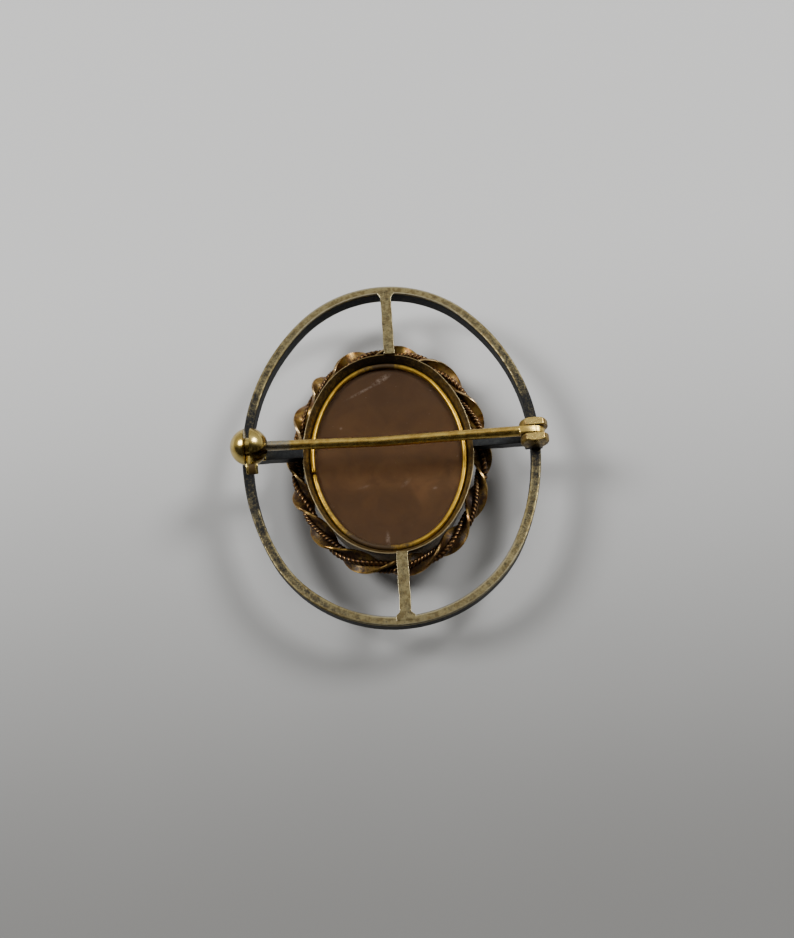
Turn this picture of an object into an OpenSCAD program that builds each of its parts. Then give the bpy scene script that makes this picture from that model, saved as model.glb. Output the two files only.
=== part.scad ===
// Cameo brooch lying face down, its pin side up.
// X runs to the right and Y to the top of the oval; the carved front rests at z = 0.

/* [Ring] */
// Width of the outer oval ring
ring_w = 34.6; // [31:0.1:38]
// Height of the outer oval ring
ring_h = 42.5; // [41:0.1:46]
// Radius of the ring's rounded top end, as a share of its half width
ring_top_share = 0.84; // [0.78:0.01:0.88]
// Radius of the ring's fuller bottom end, as a share of its half width
ring_low_share = 0.93; // [0.88:0.01:0.95]
// How far the ring's middle lies to the right of the spokes' crossing
ring_x = -0.2; // [-0.4:0.05:0.4]
// Thickness of the ring, seen from the back
ring_band = 1.1; // [0.8:0.05:1.5]
// Depth of the ring, from back to front
ring_depth = 1.95; // [1.4:0.05:2.6]
// Height of the ring's back plane above the table
ring_back_z = 7; // [6.6:0.1:8]

/* [Spokes] */
// Width of the top and bottom spokes
spoke_w = 1.28; // [0.9:0.02:1.6]
// Width of the two side spokes, which carry the catch and the hinge
arm_w = 1.5; // [1.2:0.05:1.7]
// Depth of the four spokes
spoke_depth = 1.2; // [0.8:0.1:1.3]
// How far the top and bottom spokes stand to the right
spoke_shift = 0.3; // [-0.4:0.1:0.6]
// Solder fillet where a spoke meets the ring
solder_r = 0.35; // [0.2:0.05:0.6]

/* [Bezel cup] */
// Width of the hollow for the stone
cup_w = 18.5; // [17.5:0.1:19]
// Height of the hollow for the stone
cup_h = 23.6; // [22.6:0.1:24.4]
// Radius of the hollow's rounded top and bottom ends
cup_end_r = 8; // [7.4:0.1:8.4]
// How far the cup's middle lies to the right of the ring's
cup_x = -0.55; // [-0.8:0.05:0.4]
// How far the cup's middle lies above the ring's
cup_y = -0.4; // [-0.8:0.05:0.4]
// Wall thickness of the cup
cup_wall = 0.3; // [0.2:0.02:0.4]
// How far the cup's back edge flares out
cup_flare = 0.42; // [0.2:0.02:0.6]
// Depth of the flared part
flare_depth = 1.2; // [0.8:0.1:1.4]
// How far the cup's back edge lies below the ring's back plane
cup_drop = 0.3; // [0.1:0.05:0.6]
// How far the front lip reaches in over the stone
lip_reach = 0.6; // [0.4:0.05:0.8]
// Thickness of the front lip
lip_t = 0.3; // [0.2:0.02:0.4]

/* [Stone] */
// Thickness of the stone at its edge
stone_edge = 2.2; // [1.8:0.1:2.6]
// Rise of the stone's front dome
dome_rise = 1.5; // [1.2:0.1:1.8]
// Height of the carving above the dome
carving = 1.9; // [1.5:0.1:2.3]

/* [Retaining wire] */
// Thickness of the wire behind the stone
wire_d = 0.58; // [0.4:0.02:0.7]
// Gap where the wire's two ends meet
wire_gap = 0.3; // [0.15:0.05:0.6]
// Where the wire's gap lies below the stone's middle
wire_gap_y = -1.9; // [-4:0.1:4]

/* [Wreath] */
// Width of the twisted ribbon
ribbon_w = 2.5; // [1.8:0.1:2.7]
// Thickness of the twisted ribbon
ribbon_t = 0.3; // [0.2:0.02:0.4]
// Thickness of the rope wire along each face of the ribbon
rope_d = 0.56; // [0.4:0.02:0.7]

/* [Pin stem] */
// Thickness of the stem
stem_d = 1.16; // [0.9:0.02:1.2]
// Height of the stem's middle above the ring's back plane
stem_rise = 2.5; // [2.45:0.05:2.9]
// Slant of the stem at its hinge, in degrees
stem_lean = 0.5; // [0:0.1:1]
// Bend in the stem, in degrees
stem_bend = 2.25; // [0:0.25:3]
// Length of the stem from its hinge to the bend
stem_run = 17.5; // [15:0.5:19]
// Length of the taper at the stem's end
taper_len = 1.4; // [1.2:0.1:4]
// Thickness of the stem's rounded point
point_d = 0.6; // [0.4:0.02:0.8]

/* [Hinge] */
// Radius of the hinge's two round ears
ear_r = 1.62; // [1.5:0.02:1.8]
// Thickness of an ear
ear_t = 0.85; // [0.6:0.05:1]
// Thickness of the stem's flattened end
tang_t = 0.95; // [0.7:0.05:1.1]
// Thickness of the hinge pin
rivet_d = 0.9; // [0.7:0.05:1]
// Height of the hinge pin above the ring's back plane
rivet_rise = 1.75; // [1.7:0.05:1.9]
// How far the hinge pin lies inside the ring's outer edge
hinge_in = 0.85; // [0.6:0.05:1.2]
// Thickness of the hinge's base plate
base_t = 0.4; // [0.25:0.05:0.45]

/* [Ball catch] */
// Radius of the ball catch
ball_r = 2.15; // [2.05:0.05:2.2]
// How far the ball's middle lies inside the ring's outer edge
ball_in = 1.2; // [0.8:0.05:1.4]
// Width of the groove between the ball's halves
groove_w = 0.72; // [0.6:0.02:0.8]
// Width of the mouth that lets the stem out
mouth_w = 1.3; // [1.24:0.02:1.4]
// Angle of the closed mouth above the table, in degrees
mouth_rest = 30; // [20:1:40]
// Length of the thumb tab
tab_len = 1; // [0.8:0.05:1.3]
// Width of the thumb tab
tab_w = 1.35; // [1.1:0.05:1.6]

/* [Clearances] */
// Gap between the stone and its setting
stone_gap = 0.05; // [0.03:0.01:0.1]
// Gap between the wreath and the cup
wreath_gap = 0.1; // [0.05:0.01:0.2]
// Running gap between parts that turn
run_gap = 0.06; // [0.04:0.01:0.08]

/* [Hidden] */
$fn = 96;
// Longer than anything in the brooch, and a hair's breadth for clean cuts
far = 60;
cut = 0.01;
// An oval's side arcs stand out by this hair where they join its end arcs
seam = 0.005;

// Levels
cup_back_z = ring_back_z - cup_drop;
wall_top_z = cup_back_z - flare_depth;
wire_z = wall_top_z;
stone_back_z = wire_z - wire_d / 2 - stone_gap / 2;
stone_front_z = stone_back_z - stone_edge;
// The dome falls away by this power of the distance from the middle
dome_power = 2.4;
// Share of the stone that lies inside the front lip
lip_share = 1 - (lip_reach + stone_gap) / (cup_w / 2);
lip_back_z = stone_front_z - dome_rise * (1 - pow(lip_share, dome_power)) - stone_gap;
cup_front_z = lip_back_z - lip_t;
wreath_z = ring_back_z - spoke_depth - wreath_gap - ribbon_w / 2;
stem_z = ring_back_z + stem_rise;
rivet_z = ring_back_z + rivet_rise;

// Catch, from left to right: fixed dome, groove and turning dome
ball_x = ring_x - ring_w / 2 + ball_in;
groove_shift = 0.05;
dome_end_x = ball_x - groove_shift - groove_w / 2;
cap_start_x = dome_end_x + groove_w;
// The turning dome is a little fuller than the fixed one
cap_extra = 0.05;
cap_r = ball_r + cap_extra;
// Drum in the groove, and the spigot that turns in the fixed dome
drum_r = 1.05;
spigot_r = 0.7;
spigot_len = 0.85;
// The stem's bore is a little wider than the mouth
bore_r = mouth_w / 2 + 0.05;
// The turning dome ends where this much wall is left round its bore
cap_rim = 0.15;
cap_end_x = ball_x + sqrt(pow(cap_r, 2) - pow(bore_r + cap_rim, 2));
foot_len = 0.9;
pad_t = 0.25;
pad_len = 1;
// Root of the lever, with its curled thumb tab
root_rise = 0.12;
root_t = 0.5;
tab_t = 0.3;
tab_curl = 75;

// Hinge
hinge_x = ring_x + ring_w / 2 - hinge_in;
hinge_span = tang_t + 2 * run_gap + 2 * ear_t;
// Half width of the ears' necks and their base plate, as a share of an ear's radius
neck_share = 0.62;
// Depth of the flat filed on top of each ear
ear_flat = 0.33;
rivet_gap = 0.02;

// Stem, whose point stops short inside the turning dome
point_x = cap_start_x + 0.3;
end_dx = hinge_x - stem_run * cos(stem_lean) - point_x;
end_len = end_dx / cos(stem_bend - stem_lean);
hinge_y = stem_run * sin(stem_lean) - end_len * sin(stem_bend - stem_lean);
// Its flattened end, which clears the base plate as it turns
tang_r = rivet_rise - base_t - 2 * run_gap;
tang_len = 1.9;
// Past the bend it is a little thinner, and starts inside the hinge side
step_in = 0.03;
bend_lap = 0.3;

// Solder joins the frame's pieces to this depth
solder_lap = 0.15;

// Places where the ribbon stands on edge, in degrees round from the right
on_edge = [9, 37, 66, 90, 117, 135, 161, 191.5, 216, 241.5, 267, 292, 316, 343];
edges = len(on_edge);

// An oval of four arcs is given as half width, half height and end radius
function side_r(o) = (o[0] * o[0] - o[2] * o[2] + pow(o[1] - o[2], 2)) / (2 * (o[0] - o[2]));
function grown(o, by) = [o[0] + by, o[1] + by, o[2] + by];
// Direction of the line through a side arc's middle and an end arc's
function turn_angle(o) = atan2(o[1] - o[2], side_r(o) - o[0]);

ring_top = [ring_w / 2, ring_h / 2, ring_top_share * ring_w / 2];
ring_low = [ring_w / 2, ring_h / 2, ring_low_share * ring_w / 2];
cup_oval = [cup_w / 2, cup_h / 2, cup_end_r];
wreath_oval = grown(cup_oval, cup_wall + wreath_gap + ribbon_w / 2);
stone_oval = grown(cup_oval, -stone_gap);
wire_oval = grown(cup_oval, -wire_d / 2 - stone_gap);
stone_steps = 96;
stone_rings = 36;
wreath_steps = 168;
rope_sides = 4;
wire_steps = 80;
wire_sides = 10;

// Carved flowers: x, y and radius as shares of the stone's half width and half height, petals, turn
flowers = [
    [0, 0.08, 0.44, 6, 10],
    [-0.36, -0.42, 0.3, 5, 40],
    [0.38, -0.36, 0.3, 5, 0],
    [-0.34, 0.56, 0.24, 5, 20],
    [0.34, 0.56, 0.24, 5, 70]
];
// Carved leaves: x, y, length, width, direction in degrees
leaves = [
    [0, -0.62, 0.5, 0.3, 90],
    [0, 0.72, 0.46, 0.28, 90],
    [-0.62, 0.2, 0.5, 0.3, 110],
    [0.62, 0.22, 0.5, 0.3, 70],
    [-0.7, -0.16, 0.42, 0.26, 80],
    [0.7, -0.06, 0.42, 0.26, 100],
    [-0.1, -0.3, 0.5, 0.3, 60],
    [0.3, -0.7, 0.36, 0.22, 130],
    [-0.32, -0.72, 0.36, 0.22, 50]
];

// Normal's direction at the share s of the way round an oval, about evenly spaced
function spread(o, s) = atan2(o[0] * sin(360 * s), o[1] * cos(360 * s));

// Point of an oval whose outward normal has the angle a, and the angle itself
function fold(a) = let (q = a % 360) q < 0 ? q + 360 : q;
function oval_point(o, a) =
    let (
        q = fold(a),
        t = turn_angle(o),
        r = side_r(o),
        at_side = (q <= t || q >= 360 - t) ? 1 : ((q >= 180 - t && q <= 180 + t) ? -1 : 0),
        top = q < 180 ? 1 : -1
    )
    at_side != 0
        ? [r * cos(q) - at_side * (r - o[0]), r * sin(q)]
        : [o[2] * cos(q), o[2] * sin(q) + top * (o[1] - o[2])];

// Solid oval of height h whose outline grows by grow from bottom to top
module oval_solid(o, h, grow = 0) {
    r = side_r(o);
    t = turn_angle(o);
    rise = o[1] - o[2];
    for (s = [-1, 1]) {
        intersection() {
            translate([-s * (r - o[0]), 0, 0]) cylinder(r1 = r + seam, r2 = r + grow + seam, h = h);
            linear_extrude(height = h)
                polygon([
                    [0, -rise],
                    [s * (o[0] - r + far * cos(t)), -far * sin(t)],
                    [s * (o[0] - r + far * cos(t)), far * sin(t)],
                    [0, rise]
                ]);
        }
        translate([0, s * rise, 0]) cylinder(r1 = o[2], r2 = o[2] + grow, h = h);
    }
}

// Fillet of solder where the top spoke meets the ring, with the ring's inner edge at y = 0
module spoke_fillet() {
    translate([0, 0, ring_back_z - spoke_depth])
        linear_extrude(height = spoke_depth)
            polygon([
                [-spoke_w / 2 - solder_r, ring_band / 2],
                [spoke_w / 2 + solder_r, ring_band / 2],
                [spoke_w / 2, -solder_r],
                [-spoke_w / 2, -solder_r]
            ]);
}

// Half of an oval solid, from the line y = 0 up or down
module half_oval(o, h, side) {
    intersection() {
        oval_solid(o, h);
        translate([-far / 2, side > 0 ? 0 : -far, -cut]) cube([far, far, h + 2 * cut]);
    }
}

// Solid inside the ring's outline, drawn in by inset all round
module ring_solid(inset, h) {
    translate([ring_x, 0, 0]) {
        half_oval(grown(ring_top, -inset), h, 1);
        half_oval(grown(ring_low, -inset), h, -1);
    }
}

// Outer ring and the four spokes that run in to the collar
module ring() {
    inner_w = ring_w / 2 - ring_band;
    inner_h = ring_h / 2 - ring_band;
    translate([0, 0, ring_back_z - ring_depth])
        difference() {
            ring_solid(0, ring_depth);
            translate([0, 0, -cut]) ring_solid(ring_band, ring_depth + 2 * cut);
        }
    difference() {
        union() {
            translate([spoke_shift - spoke_w / 2, -inner_h - ring_band / 2, ring_back_z - spoke_depth])
                cube([spoke_w, ring_h - ring_band, spoke_depth]);
            translate([ring_x - inner_w - ring_band / 2, -arm_w / 2, ring_back_z - spoke_depth])
                cube([ring_w - ring_band, arm_w, spoke_depth]);
            translate([spoke_shift, inner_h, 0]) spoke_fillet();
            translate([spoke_shift, -inner_h, 0]) rotate([0, 0, 180]) spoke_fillet();
        }
        translate([cup_x, cup_y, 0])
            oval_solid(grown(cup_oval, cup_wall + cup_flare - solder_lap), far);
    }
}

// Collar round the stone, with its flared back edge and its front lip
module collar() translate([cup_x, cup_y, 0]) {
    outside = grown(cup_oval, cup_wall);
    difference() {
        union() {
            translate([0, 0, cup_front_z])
                oval_solid(grown(outside, -lip_t / 2), lip_t / 2, lip_t / 2);
            translate([0, 0, cup_front_z + lip_t / 2])
                oval_solid(outside, wall_top_z - cup_front_z - lip_t / 2);
            translate([0, 0, wall_top_z]) oval_solid(outside, flare_depth, cup_flare);
        }
        translate([0, 0, lip_back_z]) oval_solid(cup_oval, wall_top_z - lip_back_z);
        translate([0, 0, wall_top_z - cut]) oval_solid(cup_oval, cut * 2);
        translate([0, 0, wall_top_z]) oval_solid(cup_oval, flare_depth * 2, cup_flare * 2);
        translate([0, 0, cup_front_z - cut]) oval_solid(grown(cup_oval, -lip_reach), lip_t + 2 * cut);
    }
}

// Height of one open flower over the dome, 0 to 1; f is [x, y, radius, petals, turn]
function flower(f, x, y) =
    let (
        dx = x - f[0] * cup_w / 2,
        dy = y - f[1] * cup_h / 2,
        wave = abs(cos(f[3] * (atan2(dy, dx) - f[4]) / 2)),
        s = norm([dx, dy]) / (f[2] * cup_w / 2) / (0.74 + 0.26 * sqrt(wave)),
        rim = min(1, (1 - s) / 0.12)
    )
    s >= 1 ? 0
    : s < 0.2 ? 0.78 + 0.2 * sqrt(1 - pow(s / 0.2, 2))
    : rim * (0.5 + 0.5 * sin(180 * pow((s - 0.2) / 0.8, 1.4))) * (0.72 + 0.28 * sqrt(wave));

// Height of one leaf over the dome, 0 to 1; f is [x, y, length, width, direction]
function leaf(f, x, y) =
    let (
        dx = x - f[0] * cup_w / 2,
        dy = y - f[1] * cup_h / 2,
        u = (dx * cos(f[4]) + dy * sin(f[4])) / (f[2] * cup_w / 4),
        v = (dy * cos(f[4]) - dx * sin(f[4])) / (f[3] * cup_w / 4),
        edge = pow(max(0, 1 - u * u), 0.8)
    )
    abs(u) >= 1 || abs(v) >= edge ? 0
    : 0.2 + 0.25 * (1 - pow(v / edge, 2)) - 0.14 * max(0, 1 - abs(v) / 0.16);

function carved(x, y) =
    max(concat([for (f = flowers) flower(f, x, y)], [for (f = leaves) leaf(f, x, y)]));
function ground(p) = stone_front_z - dome_rise * (1 - pow(p, dome_power));

// Stone, flat at the back, with its carving in relief on the domed front
module cameo() color("#7d5136") translate([cup_x, cup_y, 0]) {
    outline = [for (i = [0:stone_steps - 1]) oval_point(stone_oval, spread(stone_oval, i / stone_steps))];
    front = [for (j = [1:stone_rings]) for (q = outline)
        let (p = j / stone_rings, x = q[0] * p, y = q[1] * p)
        [x, y, max(0, ground(p) - (p < lip_share ? carving * carved(x, y) : 0))]];
    back = [for (q = outline) [q[0], q[1], stone_back_z]];
    middle = [0, 0, max(0, ground(0) - carving * carved(0, 0))];
    n = stone_steps;
    k = stone_rings * n;
    points = concat(front, back, [middle]);
    faces = concat(
        [for (i = [0:n - 1]) [k + n, (i + 1) % n, i]],
        [for (j = [0:stone_rings - 2]) for (i = [0:n - 1])
            [j * n + i, j * n + (i + 1) % n, (j + 1) * n + i]],
        [for (j = [0:stone_rings - 2]) for (i = [0:n - 1])
            [j * n + (i + 1) % n, (j + 1) * n + (i + 1) % n, (j + 1) * n + i]],
        [for (i = [0:n - 1]) [k - n + i, k - n + (i + 1) % n, k + i]],
        [for (i = [0:n - 1]) [k - n + (i + 1) % n, k + (i + 1) % n, k + i]],
        [[for (i = [0:n - 1]) k + i]]
    );
    polyhedron(points, [for (f = faces) [for (i = [len(f) - 1:-1:0]) f[i]]], convexity = 6);
}

// Tube through rings of points; a closed one joins its last ring to its first
module tube(rings, closed = true) {
    n = len(rings);
    m = len(rings[0]);
    polyhedron(
        [for (r = rings) for (p = r) p],
        concat(
            [for (i = [0:n - (closed ? 1 : 2)]) for (j = [0:m - 1]) for (half = [0, 1])
                let (
                    a = i * m + j,
                    b = i * m + (j + 1) % m,
                    c = ((i + 1) % n) * m + (j + 1) % m,
                    d = ((i + 1) % n) * m + j
                )
                half == 0 ? [a, b, c] : [a, c, d]],
            closed ? [] : [[for (j = [m - 1:-1:0]) j], [for (j = [0:m - 1]) (n - 1) * m + j]]
        ),
        convexity = 8
    );
}

// Wire that lies behind the stone, open where its two ends meet
module retaining_wire() color("#d9a520") translate([cup_x, cup_y, wire_z]) {
    low = 180 - asin((wire_gap_y - wire_gap / 2) / side_r(wire_oval));
    high = 180 - asin((wire_gap_y + wire_gap / 2) / side_r(wire_oval));
    tube([for (i = [0:wire_steps])
        let (
            a = low + (360 - low + high) * i / wire_steps,
            p = oval_point(wire_oval, a)
        )
        [for (j = [0:wire_sides - 1])
            let (q = 360 * j / wire_sides, r = wire_d / 2)
            [p[0] + r * cos(q) * cos(a), p[1] + r * cos(q) * sin(a), r * sin(q)]]], false);
}

// Twist of the ribbon at the angle q round the wreath: 90 where it stands on edge
function edge_at(k) = on_edge[(k + edges) % edges] + 360 * floor(k / edges);
function twist(q) =
    let (k = len([for (e = on_edge) if (e <= q) e]) - 1)
    90 + 180 * (k + (q - edge_at(k)) / (edge_at(k + 1) - edge_at(k)));

// One section's frame: its middle, its width direction and its face direction
function wreath_frame(i) =
    let (
        a = spread(wreath_oval, i / wreath_steps),
        p = oval_point(wreath_oval, a),
        f = twist(fold(atan2(p[1], p[0]))),
        out = [cos(a), sin(a), 0],
        up = [0, 0, 1]
    )
    [[p[0], p[1], 0], cos(f) * out + sin(f) * up, cos(f) * up - sin(f) * out];

// Ribbon's section with a rope wire soldered along the middle of each face
module wreath() color("#6e4420") translate([cup_x, cup_y, wreath_z]) {
    rope_r = rope_d / 2;
    sunk = solder_lap / 2;
    half = [for (j = [0:rope_sides - 1])
        let (q = 90 - 180 * (j + 0.5) / rope_sides)
        [rope_r * sin(q), ribbon_t / 2 - sunk + rope_r + rope_r * cos(q)]];
    side = concat(
        [[ribbon_w / 2, ribbon_t / 2], [half[0][0], ribbon_t / 2]],
        half,
        [[half[rope_sides - 1][0], ribbon_t / 2], [-ribbon_w / 2, ribbon_t / 2]]
    );
    section = concat(side, [for (p = side) -p]);
    tube([for (i = [0:wreath_steps - 1])
        let (f = wreath_frame(i))
        [for (p = section) f[0] + p[0] * f[1] + p[1] * f[2]]]);
}

// Round bar along X from x0 to x1 on the catch's axis
module bar(x0, x1, r) {
    translate([x0, 0, stem_z]) rotate([0, 90, 0]) cylinder(r = r, h = x1 - x0);
}
// Slot that lets the stem out of the turning dome
module mouth(x0, x1) {
    translate([x0, 0, stem_z]) rotate([-mouth_rest, 0, 0])
        translate([0, -2 * ball_r, -mouth_w / 2]) cube([x1 - x0, 2 * ball_r, mouth_w]);
}
module slab(x0, x1) {
    translate([x0, -far / 2, 0]) cube([x1 - x0, far, far]);
}

// Fixed half of the ball catch, with its foot and the plate that it stands on
module catch_body() {
    low_z = ring_back_z - solder_lap;
    difference() {
        union() {
            intersection() {
                translate([ball_x, 0, stem_z]) sphere(r = ball_r);
                slab(ball_x - far / 2, dome_end_x);
            }
            translate([dome_end_x - foot_len, -arm_w / 2, low_z])
                cube([foot_len, arm_w, stem_z - low_z]);
            translate([ball_x - pad_len, -arm_w / 2 - run_gap, low_z])
                cube([cap_end_x - ball_x + pad_len, arm_w + 2 * run_gap, solder_lap + pad_t]);
        }
        bar(dome_end_x - spigot_len - run_gap, dome_end_x + cut, spigot_r + run_gap);
    }
}

// Turning half of the ball catch, shut
module catch_lever() color("#d9aa3a") {
    root_y = -cap_r - run_gap;
    difference() {
        union() {
            translate([cap_start_x, 0, stem_z]) rotate([0, 90, 0]) rotate_extrude()
                intersection() {
                    translate([0, ball_x - cap_start_x]) circle(r = cap_r);
                    square([cap_r, cap_end_x - cap_start_x]);
                }
            bar(dome_end_x + run_gap, point_x - 2 * run_gap, drum_r);
            bar(dome_end_x - spigot_len, dome_end_x + 2 * run_gap, spigot_r);
            translate([dome_end_x + run_gap, root_y, stem_z + root_rise - root_t])
                cube([groove_w - 2 * run_gap, -root_y, root_t]);
            translate([dome_end_x + run_gap, root_y, stem_z + root_rise - tab_len])
                rotate([0, 90, 0]) rotate([0, 0, 180])
                    rotate_extrude(angle = tab_curl)
                        translate([tab_len - tab_t, 0]) square([tab_t, tab_w]);
        }
        bar(point_x - run_gap, cap_end_x + cut, bore_r);
        mouth(point_x - run_gap, cap_end_x + cut);
    }
}

// Cylinder along Y through the hinge, from y0 to y1
module across(y0, y1, r0, r1) {
    translate([hinge_x, hinge_y + y0, rivet_z]) rotate([-90, 0, 0]) cylinder(r1 = r0, r2 = r1, h = y1 - y0);
}

// Hinge's two round ears on their base plate
module joint_ears() {
    inner = tang_t / 2 + run_gap;
    rim = ear_t / 3;
    low_z = ring_back_z - solder_lap;
    difference() {
        union() {
            across(inner, inner + ear_t - rim, ear_r, ear_r);
            across(inner + ear_t - rim, inner + ear_t, ear_r, ear_r - rim);
            across(-inner - ear_t + rim, -inner, ear_r, ear_r);
            across(-inner - ear_t, -inner - ear_t + rim, ear_r - rim, ear_r);
            for (y = [inner, -inner - ear_t])
                translate([hinge_x - ear_r * neck_share, hinge_y + y, low_z])
                    cube([2 * ear_r * neck_share, ear_t, rivet_z - low_z]);
            translate([hinge_x - ear_r * neck_share, hinge_y - hinge_span / 2, low_z])
                cube([2 * ear_r * neck_share, hinge_span, solder_lap + base_t]);
        }
        translate([hinge_x - ear_r - cut, hinge_y - hinge_span, rivet_z + ear_r - ear_flat])
            cube([2 * (ear_r + cut), 2 * hinge_span, ear_flat + cut]);
        across(-hinge_span, hinge_span, rivet_d / 2 + rivet_gap, rivet_d / 2 + rivet_gap);
    }
}

// The frame's pieces are soldered together: ring and spokes, collar, catch body and hinge ears
module frame() color("#8f8768") {
    ring();
    collar();
    catch_body();
    joint_ears();
}

module rivet() color("#b98c2f")
    across(-hinge_span / 2, hinge_span / 2, rivet_d / 2, rivet_d / 2);

// Stem: a straight bar from the hinge to the bend, then a finer one that tapers to a rounded point
module pin_stem() color("#b8914a") {
    end_r = stem_d / 2 - step_in;
    point_r = point_d / 2;
    taper_at = end_len - taper_len;
    difference() {
        union() {
            across(-tang_t / 2, tang_t / 2, tang_r, tang_r);
            translate([hinge_x - tang_len, hinge_y - tang_t / 2, rivet_z])
                cube([tang_len, tang_t, stem_rise - rivet_rise + tang_t / 2]);
        }
        across(-tang_t, tang_t, rivet_d / 2 + run_gap, rivet_d / 2 + run_gap);
    }
    translate([hinge_x, hinge_y, stem_z]) rotate([0, 0, 180 + stem_lean]) {
        translate([ear_r + 2 * run_gap, 0, 0]) rotate([0, 90, 0])
            cylinder(d = stem_d, h = stem_run - ear_r - 2 * run_gap);
        translate([stem_run, 0, 0]) rotate([0, 90, -stem_bend]) rotate_extrude()
            polygon(concat(
                [[0, -bend_lap], [end_r, -bend_lap], [end_r, taper_at]],
                [for (q = [0:22.5:90]) [point_r * cos(q), end_len - point_r + point_r * sin(q)]]
            ));
    }
}

frame();
wreath();
cameo();
retaining_wire();
catch_lever();
rivet();
pin_stem();
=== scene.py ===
from math import asin, cos, pi, radians, sin, sqrt, tau
import bpy
import numpy as np
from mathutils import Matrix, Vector


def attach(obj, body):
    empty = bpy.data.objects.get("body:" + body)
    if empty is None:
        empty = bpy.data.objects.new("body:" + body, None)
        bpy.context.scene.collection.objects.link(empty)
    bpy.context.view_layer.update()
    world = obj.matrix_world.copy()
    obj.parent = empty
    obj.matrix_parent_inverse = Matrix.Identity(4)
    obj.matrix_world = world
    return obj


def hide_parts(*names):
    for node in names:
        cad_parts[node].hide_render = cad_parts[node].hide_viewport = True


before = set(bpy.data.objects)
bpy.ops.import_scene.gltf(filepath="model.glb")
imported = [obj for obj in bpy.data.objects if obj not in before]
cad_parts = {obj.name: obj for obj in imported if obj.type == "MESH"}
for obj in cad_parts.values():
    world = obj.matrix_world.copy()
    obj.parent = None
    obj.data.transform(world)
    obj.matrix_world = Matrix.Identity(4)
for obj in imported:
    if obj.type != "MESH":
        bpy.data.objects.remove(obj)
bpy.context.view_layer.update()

# Cameo brooch lying face down. Sizes below are in millimetres, the scene is in metres.
mm = 0.001
onAxis = 0.001        # radius at which a turned piece closes on its axis
weldReach = 0.0005    # points nearer than this are merged

levels = {
    "ringBack": 7.0,      # back plane of the ring and its spokes
    "stem": 9.5,          # axis of the stem and of the catch
    "rivet": 8.75,
    "collarBack": 6.7,
    "wallTop": 5.5,       # where the collar starts to flare
    "wreath": 4.45,
}
solderDepth = 0.1     # how deep the feet of the findings sink into the ring


# Selecting and shaping

def deselectAll():
    if bpy.context.object and bpy.context.object.mode != "OBJECT":
        bpy.ops.object.mode_set(mode="OBJECT")
    bpy.ops.object.select_all(action="DESELECT")


def pick(piece):
    deselectAll()
    bpy.context.view_layer.objects.active = piece
    piece.select_set(True)


def applyPlace(piece):
    pick(piece)
    bpy.ops.object.transform_apply(location=True, rotation=True, scale=True)


def addModifier(piece, kind, **settings):
    pick(piece)
    modifier = piece.modifiers.new(kind.title(), kind)
    for key, value in settings.items():
        setattr(modifier, key, value)
    bpy.ops.object.modifier_apply(modifier=modifier.name)


def bevelEdges(piece, width, segments, angle=30):
    addModifier(piece, "BEVEL", width=width * mm, segments=segments, limit_method="ANGLE",
                angle_limit=radians(angle), use_clamp_overlap=True)


def cutAway(piece, cutter):
    addModifier(piece, "BOOLEAN", operation="DIFFERENCE", object=cutter, solver="EXACT")
    bpy.data.objects.remove(cutter)


def joinInto(piece, others):
    pick(piece)
    for other in others:
        other.select_set(True)
    bpy.ops.object.join()
    return piece


def smooth(piece, angle):
    pick(piece)
    bpy.ops.object.shade_smooth_by_angle(angle=radians(angle))


# A grid is drawn over the sections, a row for each, and closed where its sides meet
def skin(name, sections, loop=True, edge=None):
    rows, points = len(sections), len(sections[0])
    turns = rows if loop else rows - 1
    deselectAll()
    bpy.ops.mesh.primitive_grid_add(x_subdivisions=turns, y_subdivisions=points, size=1)
    piece = bpy.context.object
    piece.name = name
    flat = np.empty(len(piece.data.vertices) * 3)
    piece.data.vertices.foreach_get("co", flat)
    flat = flat.reshape(-1, 3)
    row = np.rint((flat[:, 0] + 0.5) * turns).astype(int) % rows
    point = np.rint((flat[:, 1] + 0.5) * points).astype(int) % points
    piece.data.vertices.foreach_set("co", (np.asarray(sections)[row, point] * mm).ravel())
    if edge is not None:
        edgeValue = piece.data.attributes.new("edge", "FLOAT", "POINT")
        edgeValue.data.foreach_set("value", np.broadcast_to(edge, (rows, points))[row, point].astype(np.float32))
    bpy.ops.object.mode_set(mode="EDIT")
    bpy.ops.mesh.select_all(action="SELECT")
    bpy.ops.mesh.remove_doubles(threshold=weldReach * mm)
    if not loop:
        bpy.ops.mesh.fill_holes(sides=0)
    bpy.ops.mesh.select_all(action="SELECT")
    bpy.ops.mesh.normals_make_consistent(inside=False)
    bpy.ops.object.mode_set(mode="OBJECT")
    return piece


# Turned piece: radius against distance along an axis, at the size and place given
def turned(name, profile, origin, axis="X", steps=72):
    angles = np.arange(steps) * tau / steps
    along, radius = np.array(profile, float).T
    ring = np.stack([np.zeros(steps), np.cos(angles), np.sin(angles)], 1)
    rows = radius[:, None, None] * ring + along[:, None, None] * np.array([1, 0, 0])
    if axis == "Y":
        rows = rows[:, :, [1, 0, 2]]
    return skin(name, rows + np.array(origin), loop=False)


def block(name, low, high):
    deselectAll()
    low, high = Vector(low) * mm, Vector(high) * mm
    bpy.ops.mesh.primitive_cube_add(size=1, location=(low + high) / 2)
    piece = bpy.context.object
    piece.name = name
    piece.scale = high - low
    applyPlace(piece)
    return piece


# Smooth unevenness that comes from hand work, the same each run
def unevenness(angles, seed, waves, lowest):
    chance = np.random.default_rng(seed)
    total = np.zeros_like(angles)
    for wave in range(lowest, lowest + waves):
        total += np.sin(wave * angles + chance.uniform(0, tau)) * chance.uniform(0.4, 1)
    return total / waves


# Ovals drawn with arcs: half width, half height and the radius of the top and the bottom end

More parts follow.
